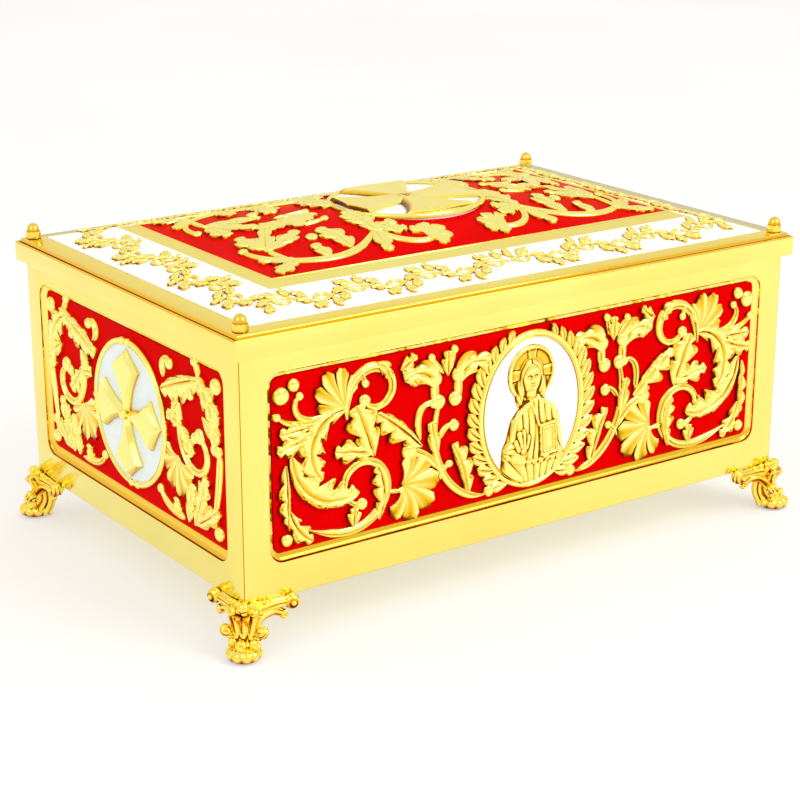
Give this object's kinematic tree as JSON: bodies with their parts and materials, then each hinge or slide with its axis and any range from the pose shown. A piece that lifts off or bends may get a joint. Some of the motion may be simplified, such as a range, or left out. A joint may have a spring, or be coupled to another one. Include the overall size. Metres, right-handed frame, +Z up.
{
  "type": "reliquary casket",
  "caption": "Rectangular gilt and enamelled casket on cast acanthus feet, with a lift-off domed lid, for keeping relics or treasures.",
  "frame": {"origin": "on the floor under the middle of the casket, in the plane of the foot pads", "axes": "+X along the long side to the right, -Y out of the front, the side with the figure, +Z up"},
  "size_m": [0.4288, 0.2898, 0.212],
  "materials": {
    "polished_gold": "mirror polished, gilt",
    "cast_gold": "cast and polished, dark in the hollows",
    "red_enamel": "glossy vitreous enamel under gilt relief",
    "white_enamel": "glossy vitreous enamel under gilt relief"
  },
  "bodies": {
    "root": {"casket_box": "polished_gold", "front_panel": "red_enamel", "back_panel": "red_enamel", "left_panel": "red_enamel", "right_panel": "red_enamel", "front_medallion": "white_enamel", "back_medallion": "white_enamel", "left_medallion": "white_enamel", "right_medallion": "white_enamel", "lid_shell": "polished_gold", "lid_border": "white_enamel", "lid_band": "polished_gold", "lid_panel": "red_enamel", "lid_medallion": "white_enamel", "finial_front_left": "cast_gold", "finial_front_right": "cast_gold", "finial_back_right": "cast_gold", "finial_back_left": "cast_gold", "foot_front_left": "cast_gold", "foot_front_right": "cast_gold", "foot_back_right": "cast_gold", "foot_back_left": "cast_gold"}
  },
  "joints": []
}
